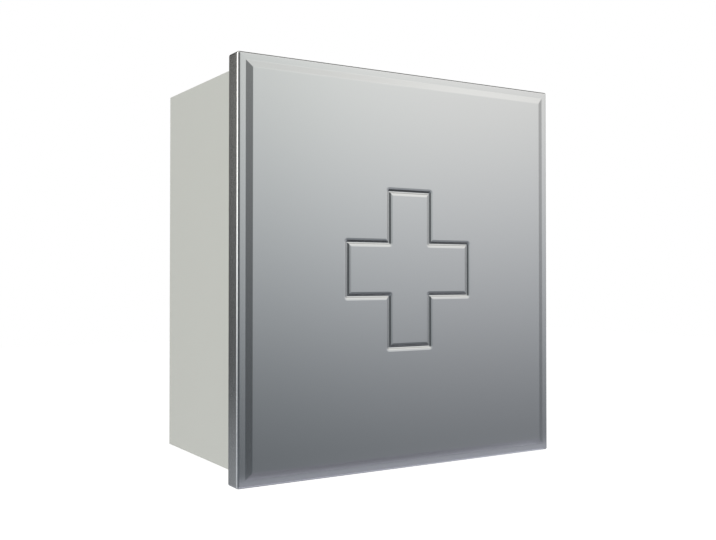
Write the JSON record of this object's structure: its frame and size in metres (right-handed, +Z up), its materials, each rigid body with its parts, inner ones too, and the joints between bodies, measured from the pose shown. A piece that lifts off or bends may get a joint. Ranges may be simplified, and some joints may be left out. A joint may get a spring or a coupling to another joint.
{
  "type": "medicine cabinet",
  "caption": "Wall-hung medicine cabinet with lift-out shelves behind an overhanging hinged door that has a raised field and a routed cross outline.",
  "frame": {"origin": "middle of the back face, which lies against the wall", "axes": "+X to the right, seen from the front; +Y into the wall, so the front faces -Y; +Z up"},
  "size_m": [0.38, 0.2, 0.4],
  "materials": {
    "coated_board": "light grey-white melamine on particle board, satin",
    "back_board": "white-painted fibreboard, satin",
    "edge_band": "satin edge strip",
    "door_foil": "silver metallic PVC foil, satin",
    "fibreboard": "MDF",
    "back_sheet": "white melamine face",
    "beech": "fluted beech",
    "zinc": "die-cast zinc",
    "white_plastic": "moulded, satin",
    "fastener_steel": "zinc-plated",
    "nickel_steel": "nickel-plated",
    "hinge_steel": "nickel-plated",
    "magnet": "sintered ferrite",
    "bumper": "translucent soft bumper"
  },
  "bodies": {
    "cabinet": {"left_side_panel": "coated_board", "right_side_panel": "coated_board", "top_panel": "coated_board", "bottom_panel": "coated_board", "hanging_rail": "coated_board", "back_panel": "back_board", "body_edge_bands": "edge_band", "cam_bolts": "fastener_steel", "cam_discs": "zinc", "cam_caps": "white_plastic", "corner_dowels": "beech", "rail_dowels": "beech", "back_nails": "fastener_steel", "upper_shelf_pins": "nickel_steel", "lower_shelf_pins": "nickel_steel", "upper_frame_leaf": "hinge_steel", "lower_frame_leaf": "hinge_steel", "upper_hinge_pin": "hinge_steel", "lower_hinge_pin": "hinge_steel", "frame_leaf_screws": "fastener_steel", "catch_housing": "white_plastic", "catch_magnet": "magnet", "catch_pole_plates": "nickel_steel", "catch_screws": "fastener_steel"},
    "door": {"door_foil": "door_foil", "door_core": "fibreboard", "door_back_sheet": "back_sheet", "upper_door_leaf": "hinge_steel", "lower_door_leaf": "hinge_steel", "door_leaf_screws": "fastener_steel", "strike_plate": "nickel_steel", "strike_screws": "fastener_steel", "door_bumpers": "bumper"},
    "upper_shelf": {"upper_shelf": "coated_board", "upper_shelf_band": "edge_band"},
    "lower_shelf": {"lower_shelf": "coated_board", "lower_shelf_band": "edge_band"}
  },
  "joints": [
    {"name": "door_hinge", "type": "hinge", "parent": "cabinet", "child": "door", "pos_m": [0.1828, -0.1752, 0], "axis": [0, 0, 1], "range_deg": [0, 120]},
    {"name": "upper_shelf_lift", "type": "slide", "parent": "cabinet", "child": "upper_shelf", "axis": [0, 0, 1], "range_m": [0, 0.02]},
    {"name": "lower_shelf_lift", "type": "slide", "parent": "cabinet", "child": "lower_shelf", "axis": [0, 0, 1], "range_m": [0, 0.02]}
  ]
}
